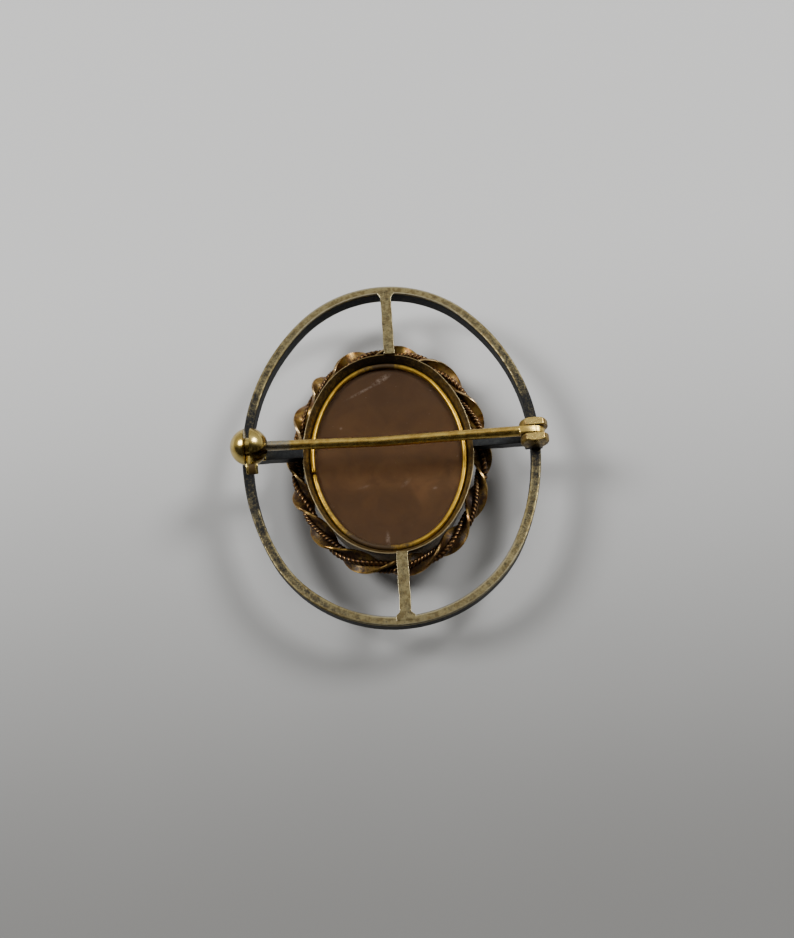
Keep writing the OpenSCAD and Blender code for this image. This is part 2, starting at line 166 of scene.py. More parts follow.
class Oval:
    def __init__(self, halfWidth, halfHeight, topRadius, middle, lowRadius=None):
        self.halfWidth, self.halfHeight = halfWidth, halfHeight
        self.ends = (topRadius, lowRadius or topRadius)
        self.middle = middle

    def grown(self, by):
        top, low = self.ends
        return Oval(self.halfWidth + by, self.halfHeight + by, top + by, self.middle, low + by)

    def sideRadius(self, endRadius):
        rise = self.halfHeight - endRadius
        return (self.halfWidth ** 2 - endRadius ** 2 + rise ** 2) / (2 * (self.halfWidth - endRadius))

    # Directions that are about evenly spaced along the outline
    def directions(self, count):
        share = np.arange(count) * tau / count
        return np.arctan2(self.halfWidth * np.sin(share), self.halfHeight * np.cos(share)) % tau

    def points(self, direction):
        x, y = np.cos(direction), np.sin(direction)
        end = np.where(y >= 0, *self.ends)
        side, rise = self.sideRadius(end), self.halfHeight - end
        flank = np.arcsin(np.abs(y)) <= np.arctan2(rise, side - self.halfWidth)
        px = np.where(flank, side * x - np.sign(x) * (side - self.halfWidth), end * x)
        py = np.where(flank, side * y, end * y + np.sign(y) * rise)
        return np.stack([px + self.middle[0], py + self.middle[1]], -1)


# Closed section swept round an oval: each point is a distance outwards and a height
def sweep(name, oval, section, count, edge, swell):
    direction = oval.directions(count)
    centre = oval.points(direction)
    outwards = np.stack([np.cos(direction), np.sin(direction)], -1)
    reach, height = (np.broadcast_to(column, (count, len(section))) for column in np.array(section).T)
    reach, height = swell(direction, reach, height)
    flat = centre[:, None, :] + reach[:, :, None] * outwards[:, None, :]
    return skin(name, np.concatenate([flat, height[:, :, None]], -1), edge=edge)


# How dark each place is, from a table of bearings in degrees, spreads and strengths
def darkening(directions, places):
    bearing = np.degrees(directions)
    return sum(amount * np.exp(-(((bearing - place + 180) % 360 - 180) / spread) ** 2)
               for place, spread, amount in places)


# Rectangle with rounded corners, and how near each point is to a corner
def roundedSection(left, right, low, high, radius, corner, side):
    points, edge = [], []
    centres = [(right - radius, high - radius, 0), (left + radius, high - radius, 90),
               (left + radius, low + radius, 180), (right - radius, low + radius, 270)]
    for k, (x, y, start) in enumerate(centres):
        for i in range(corner + 1):
            a = radians(start + 90 * i / corner)
            points.append((x + radius * cos(a), y + radius * sin(a)))
            edge.append(1.0)
        nx, ny = centres[(k + 1) % 4][:2]
        a = radians(start + 90)
        for i in range(1, side + 1):
            t = i / (side + 1)
            points.append((x + (nx - x) * t + radius * cos(a), y + (ny - y) * t + radius * sin(a)))
            edge.append(0.0)
    return points, np.array(edge)


# Shader groups

def nodeGroup(name, inputs, outputs):
    group = bpy.data.node_groups.new(name, "ShaderNodeTree")
    for way, sockets in (("INPUT", inputs), ("OUTPUT", outputs)):
        for key, kind in sockets.items():
            group.interface.new_socket(name=key, in_out=way, socket_type="NodeSocket" + kind)
    return group, group.nodes.new("NodeGroupInput"), group.nodes.new("NodeGroupOutput")


class Wiring:
    def __init__(self, tree):
        self.nodes, self.links = tree.nodes, tree.links

    def add(self, kind, settings=None, **sockets):
        node = self.nodes.new(kind)
        for key, value in (settings or {}).items():
            setattr(node, key, value)
        for key, value in sockets.items():
            self.feed(node.inputs[int(key[1:]) if key[0] == "i" and key[1:].isdigit() else key], value)
        return node

    def feed(self, socket, value):
        if isinstance(value, bpy.types.NodeSocket):
            self.links.new(value, socket)
        else:
            socket.default_value = value

    def math(self, operation, a, b, clamp=False):
        settings = {"operation": operation, "use_clamp": clamp}
        return self.add("ShaderNodeMath", settings, i0=a, i1=b).outputs[0]

    def scaled(self, vector, factor):
        return self.add("ShaderNodeMapping", None, Vector=vector, Scale=factor).outputs[0]

    def noise(self, vector, scale, detail, roughness=0.55, distortion=0.0):
        return self.add("ShaderNodeTexNoise", None, Vector=vector, Scale=scale, Detail=detail,
                        Roughness=roughness, Distortion=distortion).outputs["Fac"]

    def ramp(self, value, low, high, start=0.0, end=1.0):
        return self.add("ShaderNodeMapRange", {"interpolation_type": "SMOOTHSTEP"}, Value=value,
                        **{"From Min": low, "From Max": high, "To Min": start, "To Max": end}).outputs[0]

    def mix(self, factor, a, b):
        return self.add("ShaderNodeMix", {"data_type": "RGBA"}, Factor=factor, A=a, B=b).outputs["Result"]


# Old gilt: clean metal, dark patches in between, pale worn edges, and fine scratches
def makeOldGilt():
    group, given, out = nodeGroup(
        "oldGilt",
        {"Place": "Vector", "Clean": "Color", "Warm": "Color", "Dark": "Color", "Worn": "Color",
         "Patch Size": "Float", "Darkness": "Float", "Rubbed": "Float", "Edge": "Float",
         "Clean Roughness": "Float", "Dark Roughness": "Float"},
        {"Color": "Color", "Roughness": "Float", "Metallic": "Float", "Height": "Float"})
    w = Wiring(group)
    g = given.outputs
    place = w.scaled(g["Place"], (1000, 1000, 1000))
    patch = w.math("DIVIDE", 1.0, g["Patch Size"])
    broad = w.noise(place, patch, 5.0, 0.65, 0.3)
    fine = w.noise(place, w.math("MULTIPLY", patch, 5.0), 5.0, 0.7)
    grit = w.noise(place, 5.5, 3.0, 0.7)
    blotch = w.math("ADD", w.math("MULTIPLY", broad, 0.4), w.math("MULTIPLY", fine, 0.34))
    blotch = w.math("ADD", blotch, w.math("MULTIPLY", grit, 0.26))
    level = w.math("SUBTRACT", w.math("ADD", blotch, w.math("MULTIPLY", g["Darkness"], 0.5)), 0.25)
    level = w.math("SUBTRACT", level, w.math("MULTIPLY", g["Edge"], 0.3))
    mask = w.ramp(level, 0.36, 0.68)
    speck = w.ramp(w.noise(place, 7.0, 2.0, 0.5), 0.64, 0.74)
    mask = w.math("ADD", mask, w.math("MULTIPLY", speck, 0.4), True)
    rubbed = w.ramp(w.noise(place, 3.4, 4.0, 0.75), 0.5, 0.68)
    rubbed = w.math("MULTIPLY", rubbed, w.ramp(g["Edge"], -1.2, -0.3, 0.3))
    mask = w.math("MULTIPLY", mask, w.math("SUBTRACT", 1.0, w.math("MULTIPLY", rubbed, g["Rubbed"])))
    tint = w.ramp(w.noise(place, w.math("MULTIPLY", patch, 1.9), 3.0, 0.5), 0.42, 0.62)
    colour = w.mix(tint, g["Clean"], g["Warm"])
    colour = w.mix(mask, colour, g["Dark"])
    worn = w.math("MULTIPLY", w.ramp(g["Edge"], 0.4, 1.0), w.ramp(fine, 0.3, 0.55, 0.35, 0.95))
    colour = w.mix(worn, colour, g["Worn"])
    grain = w.noise(w.scaled(place, (1.0, 7.0, 7.0)), 1.6, 5.0, 0.65)
    rough = w.add("ShaderNodeMix", {"data_type": "FLOAT"}, i0=mask, i2=g["Clean Roughness"],
                  i3=g["Dark Roughness"]).outputs[0]
    rough = w.math("ADD", rough, w.math("MULTIPLY", w.math("SUBTRACT", grain, 0.5), 0.22), True)
    height = w.math("ADD", w.math("MULTIPLY", grain, 0.5), w.math("MULTIPLY", fine, 0.6))
    height = w.math("SUBTRACT", height, w.math("MULTIPLY", mask, 0.25))
    w.feed(out.inputs["Color"], colour)
    w.feed(out.inputs["Roughness"], rough)
    w.feed(out.inputs["Metallic"], w.math("SUBTRACT", 1.0, w.math("MULTIPLY", mask, 0.9)))
    w.feed(out.inputs["Height"], height)
    return group


oldGilt = makeOldGilt()


def startMaterial(name):
    material = bpy.data.materials.new(name)
    material.use_nodes = True
    w = Wiring(material.node_tree)
    return material, w, material.node_tree.nodes["Principled BSDF"]


# One finish of the gilt; the edge attribute marks what has worn pale, and below 0 what is darker: tarnish
# and black walls, and painted shade on the collar, the wire and the hinge's ears
def giltFinish(name, clean, warm, dark, worn, patchSize, darkness, roughness, bump, gloss=0.3, rubbed=0.15):
    material, w, surface = startMaterial(name)
    where = w.add("ShaderNodeTexCoord").outputs["Object"]
    edge = w.add("ShaderNodeAttribute", {"attribute_name": "edge"}).outputs["Fac"]
    gilt = w.add("ShaderNodeGroup", {"node_tree": oldGilt}, Place=where, Clean=(*clean, 1), Warm=(*warm, 1),
                 Dark=(*dark, 1), Worn=(*worn, 1), Darkness=darkness, Rubbed=rubbed, Edge=edge,
                 **{"Patch Size": patchSize, "Clean Roughness": roughness[0],
                    "Dark Roughness": roughness[1]})
    for key, output in (("Base Color", "Color"), ("Roughness", "Roughness"), ("Metallic", "Metallic")):
        w.feed(surface.inputs[key], gilt.outputs[output])
    surface.inputs["Specular IOR Level"].default_value = gloss
    relief = w.add("ShaderNodeBump", None, Strength=bump, Distance=0.05 * mm, Height=gilt.outputs["Height"])
    w.feed(surface.inputs["Normal"], relief.outputs["Normal"])
    return material


def dress(piece, material, body, replaces, angle=35):
    piece.data.materials.clear()
    piece.data.materials.append(material)
    smooth(piece, angle)
    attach(piece, body)
    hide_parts(*replaces)


# Four colours: clean, warm, dark and worn. Then the patches' size, the darkness, the roughness of clean and
# of dark metal, the bumps, the gloss and how much is rubbed bare
frameGilt = giltFinish("ringGilt", (0.34, 0.28, 0.135), (0.21, 0.16, 0.07), (0.012, 0.013, 0.015),
                       (0.46, 0.41, 0.27), 0.8, 0.45, (0.3, 0.5), 0.4, 0.06, 0.3)
armGilt = giltFinish("blackenedGilt", (0.07, 0.076, 0.074), (0.03, 0.033, 0.037), (0.008, 0.009, 0.011),
                     (0.16, 0.16, 0.15), 1.0, 0.7, (0.24, 0.36), 0.5, 0.3, 0.3)
collarGilt = giltFinish("collarGilt", (0.25, 0.16, 0.045), (0.12, 0.066, 0.018), (0.010, 0.006, 0.003),
                        (0.44, 0.37, 0.22), 0.9, 0.52, (0.3, 0.5), 0.4)
wireGilt = giltFinish("wireGilt", (0.57, 0.355, 0.042), (0.45, 0.255, 0.03), (0.04, 0.022, 0.008),
                      (0.7, 0.5, 0.2), 1.8, 0.18, (0.38, 0.5), 0.06)
wreathGilt = giltFinish("wreathGilt", (0.42, 0.255, 0.06), (0.22, 0.098, 0.024), (0.018, 0.008, 0.004),
                        (0.46, 0.33, 0.17), 2.4, 0.52, (0.28, 0.5), 0.3)
ropeGilt = giltFinish("ropeGilt", (0.10, 0.047, 0.015), (0.06, 0.026, 0.009), (0.010, 0.005, 0.003),
                      (0.31, 0.195, 0.09), 2.2, 0.45, (0.36, 0.5), 0.15)
catchGilt = giltFinish("catchGilt", (0.60, 0.46, 0.15), (0.46, 0.33, 0.09), (0.06, 0.036, 0.01),
                       (0.58, 0.48, 0.22), 2.0, 0.24, (0.19, 0.4), 0.15)
hingeGilt = giltFinish("hingeGilt", (0.62, 0.44, 0.12), (0.40, 0.235, 0.05), (0.025, 0.015, 0.006),
                       (0.72, 0.54, 0.19), 0.8, 0.4, (0.2, 0.45), 0.5)
stemGilt = giltFinish("stemGilt", (0.64, 0.45, 0.12), (0.50, 0.32, 0.075), (0.08, 0.05, 0.02),
                      (0.36, 0.34, 0.28), 1.4, 0.2, (0.28, 0.5), 0.3)
print("materials are made")


# Ring and spokes

ring = {
    "halfWidth": 17.3, "halfHeight": 21.25, "topRadius": 14.53, "lowRadius": 16.09, "shift": -0.2,
    "band": 1.1, "depth": 1.95,
    "roundness": 0.16,      # rounding of the long edges
    "unevenness": 0.035,    # hand filing of the inner and outer faces
    "backUnevenness": 0.03,
    "filedDepth": 0.5,      # how far down from the back its filing reaches
    "spokeWidth": 1.28, "armWidth": 1.5, "spokeDepth": 1.2, "spokeShift": 0.3, "spokeRounding": 0.1,
    "spokeTuck": 0.05, "armTuck": 0.02,     # how far they start inside the collar's edge
    "spokeWaver": 0.02,     # hand filing of the spokes' sides
    "fillet": 0.45,         # reach of the solder at the spokes' ends
    "filletStart": 0.6,     # where it is widest, as a share of the band from its middle
    "blackWalls": -1.2,     # how much blacker the upright walls are than the back
    "wallStart": 0.1,       # how far in from the long edges the walls turn black
    "edgeFade": 1.6,        # how fast the worn edges fade in dark places
    # Bearing, spread and strength of the places where the back has turned dark
    "darkPlaces": [(178, 14, 0.75), (200, 18, 0.35), (3, 14, 0.7), (340, 12, 0.2), (152, 18, 0.3),
                   (25, 16, 0.3), (52, 20, 0.12), (229, 22, 0.3), (95, 40, -0.3)],
    "steps": 420,
}
collar = {
    "halfWidth": 9.25, "halfHeight": 11.8, "endRadius": 8.0, "middle": (-0.55, -0.4),
    "wall": 0.3, "flare": 0.42, "lipReach": 0.6, "lip": 0.3, "front": 2.392,
    "edgeInset": 0.12,      # from the flare's outer edge to where the spokes meet it
    "rubbedIn": 0.03, "rubbedDown": 0.05, "unevenness": 0.06,     # hand rubbing of the flared edge
    # Painted shade and dark reflection inside the flare, strongest at the top and a little at the right
    "darkPlaces": [(93, 42, 0.65), (0, 25, 0.15)],
    "steps": 400,
}
ringOval = Oval(ring["halfWidth"], ring["halfHeight"], ring["topRadius"], (ring["shift"], 0),
                ring["lowRadius"])
collarOval = Oval(collar["halfWidth"], collar["halfHeight"], collar["endRadius"], collar["middle"])


def buildRing():
    section, edge = roundedSection(-ring["band"], 0, levels["ringBack"] - ring["depth"], levels["ringBack"],
                                   ring["roundness"], 4, 4)
    middle = -ring["band"] / 2
    low = levels["ringBack"] - ring["depth"] + ring["wallStart"]
    high = levels["ringBack"] - ring["wallStart"]
    edge = np.where([low < point[1] < high for point in section], ring["blackWalls"], edge)
    dark = darkening(ringOval.directions(ring["steps"]), ring["darkPlaces"])[:, None]
    edge = np.where(edge > 0, edge * np.clip(1 - ring["edgeFade"] * dark, 0, 1), edge) - dark

    def filed(direction, reach, height):
        inner = unevenness(direction, 3, 14, 5) * ring["unevenness"]
        outer = -np.abs(unevenness(direction, 8, 14, 5)) * ring["unevenness"]
        reach = np.where(reach < middle, reach + inner[:, None], reach + outer[:, None])
        back = ring["backUnevenness"] * np.abs(unevenness(direction, 4, 20, 7))[:, None]
        return reach, height - (height > levels["ringBack"] - ring["filedDepth"]) * back

    return sweep("ringBand", ringOval, section, ring["steps"], edge, filed)


# A spoke is a block that is divided along its length and spread where solder fills its outer corners
def buildSpoke(name, start, end, width, turn, shift):
    piece = block(name, (start, -width / 2, levels["ringBack"] - ring["spokeDepth"]),
                  (end, width / 2, levels["ringBack"]))
    pick(piece)
    bpy.ops.object.mode_set(mode="EDIT")
    bpy.ops.mesh.select_all(action="SELECT")
    bpy.ops.mesh.subdivide(number_cuts=23)
    bpy.ops.object.mode_set(mode="OBJECT")
    edgeValues = piece.data.attributes.new("edge", "FLOAT", "POINT")
    fillet = ring["fillet"]
    for vertex, edgeValue in zip(piece.data.vertices, edgeValues.data):
        x, y, z = (c / mm for c in vertex.co)
        onSide = abs(abs(y) - width / 2) < 0.01
        onTop = z > levels["ringBack"] - 0.01
        edgeValue.value = (1.0 if onTop else ring["blackWalls"]) if onSide else 0.0
        away = min(1, max(0, (end - ring["band"] * ring["filletStart"] - x) / fillet))
        y *= 1 + (1 - sqrt(1 - (1 - away) ** 2)) * fillet / (width / 2)
        y += ring["spokeWaver"] * sin(x * 2.3 + turn) * (abs(y) > width / 4)
        vertex.co = Vector((x, y, z)) * mm
    bevelEdges(piece, ring["spokeRounding"], 3, 60)
    piece.rotation_euler = (0, 0, radians(turn))
    piece.location = Vector(shift).to_3d() * mm
    applyPlace(piece)
    return piece


ringBand = buildRing()
halfBand = ring["band"] * 0.5
collarEdge = collar["wall"] + collar["flare"] - collar["edgeInset"]
spokes = [
    buildSpoke("topSpoke", collar["halfHeight"] + collar["middle"][1] + collarEdge - ring["spokeTuck"],
               ring["halfHeight"] - halfBand, ring["spokeWidth"], 90, (ring["spokeShift"], 0)),
    buildSpoke("bottomSpoke", collar["halfHeight"] - collar["middle"][1] + collarEdge - ring["spokeTuck"],
               ring["halfHeight"] - halfBand, ring["spokeWidth"], -90, (ring["spokeShift"], 0)),
]
arms = [
    buildSpoke("rightArm", collar["halfWidth"] + collar["middle"][0] + collarEdge - ring["armTuck"],
               ring["halfWidth"] - halfBand + ring["shift"], ring["armWidth"], 0, (0, 0)),
    buildSpoke("leftArm", collar["halfWidth"] - collar["middle"][0] + collarEdge - ring["armTuck"],
               ring["halfWidth"] - halfBand - ring["shift"], ring["armWidth"], 180, (0, 0)),
]
joinInto(ringBand, spokes)
joinInto(arms[0], arms[1:])
arms[0].name = "sideArms"
dress(ringBand, frameGilt, "mount", ["frame"])
dress(arms[0], armGilt, "mount", ["frame"])
print("ring and spokes are made")


# Collar with its flared, hand-rubbed edge and the lip that holds the stone in front

def buildCollar():
    wall, flare, lip = collar["wall"], collar["flare"], collar["lip"]
    top, front = levels["collarBack"], collar["front"]
    flareFoot = levels["wallTop"]
    outer = [(wall - 0.1, front), (wall, front + 0.12), (wall, (front + flareFoot) / 2), (wall, flareFoot)]
    rise = top - 0.06 - flareFoot
    outer += [(wall + flare * t ** 1.3, flareFoot + rise * t) for t in (0.3, 0.6, 0.85, 1)]
    rim = [(wall + flare - 0.02, top - 0.01), (wall + flare - 0.06, top), (wall + flare - 0.11, top - 0.012)]
    inner = [(flare * t ** 1.3 + 0.02 + 0.14 * t ** 2, flareFoot + rise * t) for t in (1, 0.85, 0.6, 0.3)]
    inner += [(0.0, flareFoot), (0.0, (front + flareFoot) / 2), (0.0, front + lip)]
    reach = collar["lipReach"]
    lipPart = [(-reach / 2, front + lip), (-reach + 0.08, front + lip), (-reach, front + lip / 2),
               (-reach + 0.08, front), (-reach / 2, front)]
    section = outer + rim + inner + lipPart
    edgeValue = np.zeros(len(section))
    edgeValue[7:11] = 0.4, 1, 1, 0.6
    # Painted shade: the flare is darker in these places, and its pale rim dimmer
    dark = darkening(collarOval.directions(collar["steps"]), collar["darkPlaces"])[:, None]
    edge = np.where(edgeValue > 0, edgeValue - 0.5 * dark, -dark)

    def handRubbed(direction, reach, height):
        share = np.clip((height - flareFoot) / (top - flareFoot), 0, 1)
        ripple = unevenness(direction, 11, 16, 6) + 0.5 * unevenness(direction, 12, 26, 24)
        down = collar["rubbedDown"]
        height = height - share ** 2 * (down + down * np.abs(ripple)[:, None])
        return reach - share * (collar["rubbedIn"] + collar["unevenness"] * ripple[:, None]), height

    return sweep("collar", collarOval, section, collar["steps"], edge, handRubbed)


dress(buildCollar(), collarGilt, "mount", ["frame"])
print("collar is made")


# Wire that holds the stone from behind, with its cut ends

wire = {
    "thickness": 0.58, "gap": 0.3, "gapPlace": -1.9, "seat": 0.05, "endRounding": 0.07,
    "waviness": 0.03, "unevenness": 0.008, "steps": 420, "sides": 20,
    # Painted shade: the wire is darker at the top and round the bottom, and stays bright at the sides
    "darkPlaces": [(92, 26, 1.2), (252, 36, 1.3), (205, 16, 0.3)],
}


def buildWire():
    path = collarOval.grown(-wire["thickness"] / 2 - wire["seat"])
    side = path.sideRadius(path.ends[0])
    low = pi - asin((wire["gapPlace"] - wire["gap"] / 2) / side)
    high = pi - asin((wire["gapPlace"] + wire["gap"] / 2) / side)
    direction = np.linspace(low, tau + high, wire["steps"])
    radius = np.full(len(direction), wire["thickness"] / 2)
    radius[0] = radius[-1] = wire["thickness"] / 2 - wire["endRounding"]
    radius += unevenness(direction, 5, 20, 8) * wire["unevenness"]
    centre = path.points(direction % tau)
    around = np.arange(wire["sides"]) * tau / wire["sides"]
    lean = unevenness(direction, 6, 14, 3) * wire["waviness"]
    reach = radius[:, None] * np.cos(around) - np.abs(lean)[:, None]
    height = levels["wallTop"] + radius[:, None] * np.sin(around)
    x = centre[:, :1] + reach * np.cos(direction)[:, None]
    y = centre[:, 1:] + reach * np.sin(direction)[:, None]
    # Painted shade from the dark places above, carried in the edge attribute
    dark = np.broadcast_to(-darkening(direction, wire["darkPlaces"])[:, None], x.shape)
    return skin("retainingWire", np.stack([x, y, height], -1), loop=False, edge=dark)


dress(buildWire(), wireGilt, "mount", ["retaining_wire"])
print("retaining wire is made")


# Wreath: a flat ribbon that is twisted round the collar, with a twisted rope along each face

wreath = {
    "width": 2.5, "thickness": 0.3, "gap": 0.1,
    "ropeThickness": 0.74, "ropeSunk": 0.12, "strandPitch": 0.98,
    "strandDepth": 0.3,              # depth of the grooves as a share of the rope's radius
    "ribbonSteps": 1008, "ropeSteps": 1440, "ropeSides": 12,
    "hidden": [(140, 34, 0.45)],     # where the ropes are pressed flat behind the collar
    "darkPlaces": [(225, 30, 0.35), (270, 40, 0.35), (330, 26, 0.4), (180, 14, 0.3)],
    # Directions from the middle in which the ribbon stands on edge
    "onEdge": [9, 37, 66, 90, 117, 135, 161, 191.5, 216, 241.5, 267, 292, 316, 343],
}


def wreathSections(count):
    path = collarOval.grown(collar["wall"] + wreath["gap"] + wreath["width"] / 2)
    direction = path.directions(count)
    centre = path.points(direction)
    offset = centre - np.array(collar["middle"])
    bearing = np.degrees(np.arctan2(offset[:, 1], offset[:, 0])) % 360
    marks = np.array([wreath["onEdge"][-1] - 360] + wreath["onEdge"] + [wreath["onEdge"][0] + 360])
    twist = np.radians(90 + 180 * np.interp(bearing, marks, np.arange(len(marks)) - 1))
    out = np.stack([np.cos(direction), np.sin(direction), np.zeros(count)], -1)
    up = np.array([0, 0, 1.0])
    across = np.cos(twist)[:, None] * out + np.sin(twist)[:, None] * up
    face = np.cos(twist)[:, None] * up - np.sin(twist)[:, None] * out
    middle = np.column_stack([centre, np.full(count, levels["wreath"])])
    step = np.linalg.norm(np.roll(middle, -1, 0) - middle, axis=1)
    along = np.concatenate([[0], np.cumsum(step)[:-1]])
    return middle, across, face, np.radians(bearing), along, step.sum()


def buildRibbon():
    half, thick = wreath["width"] / 2, wreath["thickness"] / 2
    section, edge = [], []
    for side in (1, -1):
        for t in (1, 0.97, 0.9, 0.6, 0.3, 0, -0.3, -0.6, -0.9, -0.97):
            section.append((side * t * half, side * thick * (0.35 if abs(t) == 1 else 1)))
            edge.append(1.0 if abs(t) > 0.92 else (0.25 if abs(t) > 0.8 else 0.0))
    middle, across, face, bearing = wreathSections(wreath["ribbonSteps"])[:4]
    section = np.array(section)
    rows = middle[:, None] + section[None, :, :1] * across[:, None] + section[None, :, 1:] * face[:, None]
    dark = darkening(bearing, wreath["darkPlaces"])[:, None]
    return skin("wreathRibbon", rows, edge=np.array(edge) - dark)


def buildRope(name, side):
    middle, across, face, bearing, along, length = wreathSections(wreath["ropeSteps"])
    radius = wreath["ropeThickness"] / 2 * (1 - darkening(bearing, wreath["hidden"])[:, None])
    centre = middle + side * (wreath["thickness"] / 2 - wreath["ropeSunk"] + radius) * face
    turns = round(length / wreath["strandPitch"])
    spin = side * tau * turns * along / length
    around = np.arange(wreath["ropeSides"]) * tau / wreath["ropeSides"]
    swirl = around[None, :] + spin[:, None]
    lobe = np.abs(np.cos(swirl))
    reach = radius * (1 - wreath["strandDepth"] + wreath["strandDepth"] * lobe)
    rows = centre[:, None] + (reach * np.cos(around))[..., None] * across[:, None] \
        + (reach * np.sin(around))[..., None] * face[:, None]
    dark = darkening(bearing, wreath["darkPlaces"])[:, None] * 0.4
    return skin(name, rows, edge=np.clip((lobe - 0.72) * 4.5, 0, 1) - dark)


dress(buildRibbon(), wreathGilt, "mount", ["wreath"])
ropes = [buildRope("ropeInner", 1), buildRope("ropeOuter", -1)]
for rope in ropes:
    dress(rope, ropeGilt, "mount", ["wreath"], 60)
print("wreath is made")


# Stone: a flat brown back, and pale flowers and leaves carved on the domed front

stone = {
    "edge": 2.2, "dome": 1.5, "power": 2.4, "carving": 1.9, "back": 5.185, "clearance": 0.05,
    "steps": 360, "backRows": 26, "frontRows": 130,
    # Pale marks on the back: x, y, direction, length, width, strength
    "marks": [(-0.9, 9.4, 32, 3.4, 1.0, 0.7), (-3.3, 8.0, 26, 6.0, 0.5, 0.4),
              (-1.2, -10.8, 92, 2.6, 0.7, 0.6), (1.3, -4.0, 42, 2.2, 0.7, 0.25),
              (4.6, -4.9, 20, 1.0, 0.5, 0.3), (-6.0, 3.4, 0, 0.6, 0.5, 0.35),
              (-3.6, -4.2, 15, 2.4, 0.5, 0.2)],
    # x, y and radius as shares of half the width and half the height, petals, turn
    "flowers": [(0, 0.08, 0.44, 6, 10), (-0.36, -0.42, 0.3, 5, 40), (0.38, -0.36, 0.3, 5, 0),
                (-0.34, 0.56, 0.24, 5, 20), (0.34, 0.56, 0.24, 5, 70)],
    # x, y, length, width, direction
    "leaves": [(0, -0.62, 0.5, 0.3, 90), (0, 0.72, 0.46, 0.28, 90), (-0.62, 0.2, 0.5, 0.3, 110),
               (0.62, 0.22, 0.5, 0.3, 70), (-0.7, -0.16, 0.42, 0.26, 80), (0.7, -0.06, 0.42, 0.26, 100),
               (-0.1, -0.3, 0.5, 0.3, 60), (0.3, -0.7, 0.36, 0.22, 130), (-0.32, -0.72, 0.36, 0.22, 50)],
}


def flowerHeight(flower, x, y):
    cx, cy, size, petals, turn = flower
    dx, dy = x - cx * collar["halfWidth"], y - cy * collar["halfHeight"]
    wave = np.abs(np.cos(petals * (np.arctan2(dy, dx) - radians(turn)) / 2))
    share = np.hypot(dx, dy) / (size * collar["halfWidth"]) / (0.74 + 0.26 * np.sqrt(wave))
    rim = np.clip((1 - share) / 0.12, 0, 1)
    bowl = np.clip((share - 0.2) / 0.8, 0, 1)
    vein = 0.03 * np.cos(petals * 6 * (np.arctan2(dy, dx) - radians(turn))) * np.clip(share, 0, 1)
    petal = rim * (0.5 + 0.5 * np.sin(pi * bowl ** 1.4)) * (0.72 + 0.28 * np.sqrt(wave)) + rim * vein
    boss = 0.78 + 0.2 * np.sqrt(np.clip(1 - (share / 0.2) ** 2, 0, 1))
    return np.where(share >= 1, 0, np.where(share < 0.2, boss, petal))


def leafHeight(leaf, x, y):
    cx, cy, length, width, turn = leaf
    dx, dy = x - cx * collar["halfWidth"], y - cy * collar["halfHeight"]
    c, s = cos(radians(turn)), sin(radians(turn))
    u = (dx * c + dy * s) / (length * collar["halfWidth"] / 2)
    v = (dy * c - dx * s) / (width * collar["halfWidth"] / 2)
    rim = np.clip(1 - u * u, 1e-6, 1) ** 0.8
    body = 0.2 + 0.25 * (1 - (v / rim) ** 2) - 0.14 * np.clip(1 - np.abs(v) / 0.16, 0, 1)
    body += 0.025 * np.cos(26 * (u - np.abs(v) * 0.7))
    return np.where((np.abs(u) >= 1) | (np.abs(v) >= rim), 0, body)


def buildStone():
    outline = collarOval.grown(-stone["clearance"])
    around = stone["steps"]
    direction = outline.directions(around)
    rim = outline.points(direction) - np.array(collar["middle"])
    lipShare = 1 - (collar["lipReach"] + stone["clearance"]) / collar["halfWidth"]
    back, front = stone["back"], stone["back"] - stone["edge"]
    rows, relief = [], []

    def addRow(share, height, carved):
        rows.append(np.column_stack([rim * share + np.array(collar["middle"]), height]))
        relief.append(carved)

    for share in np.concatenate([np.linspace(0.001, 0.97, stone["backRows"]), [0.985]]):
        addRow(share, np.full(around, back), np.zeros(around))
    addRow(0.995, np.full(around, back - 0.04), np.zeros(around))
    addRow(1, np.full(around, back - 0.12), np.zeros(around))
    addRow(1, np.full(around, (back + front) / 2), np.zeros(around))
    inwards = np.linspace(lipShare, 0.001, stone["frontRows"])
    for share in np.concatenate([np.linspace(1, lipShare, 6), inwards[1:]]):
        x, y = rim[:, 0] * share, rim[:, 1] * share
        ground = front - stone["dome"] * (1 - share ** stone["power"])
        carved = np.zeros(around)
        if share < lipShare:
            for flower in stone["flowers"]:
                carved = np.maximum(carved, flowerHeight(flower, x, y))
            for leaf in stone["leaves"]:
                carved = np.maximum(carved, leafHeight(leaf, x, y))
        addRow(share, np.maximum(0, ground - stone["carving"] * carved), carved)
    return skin("carvedStone", np.array(rows), loop=False, edge=np.array(relief))


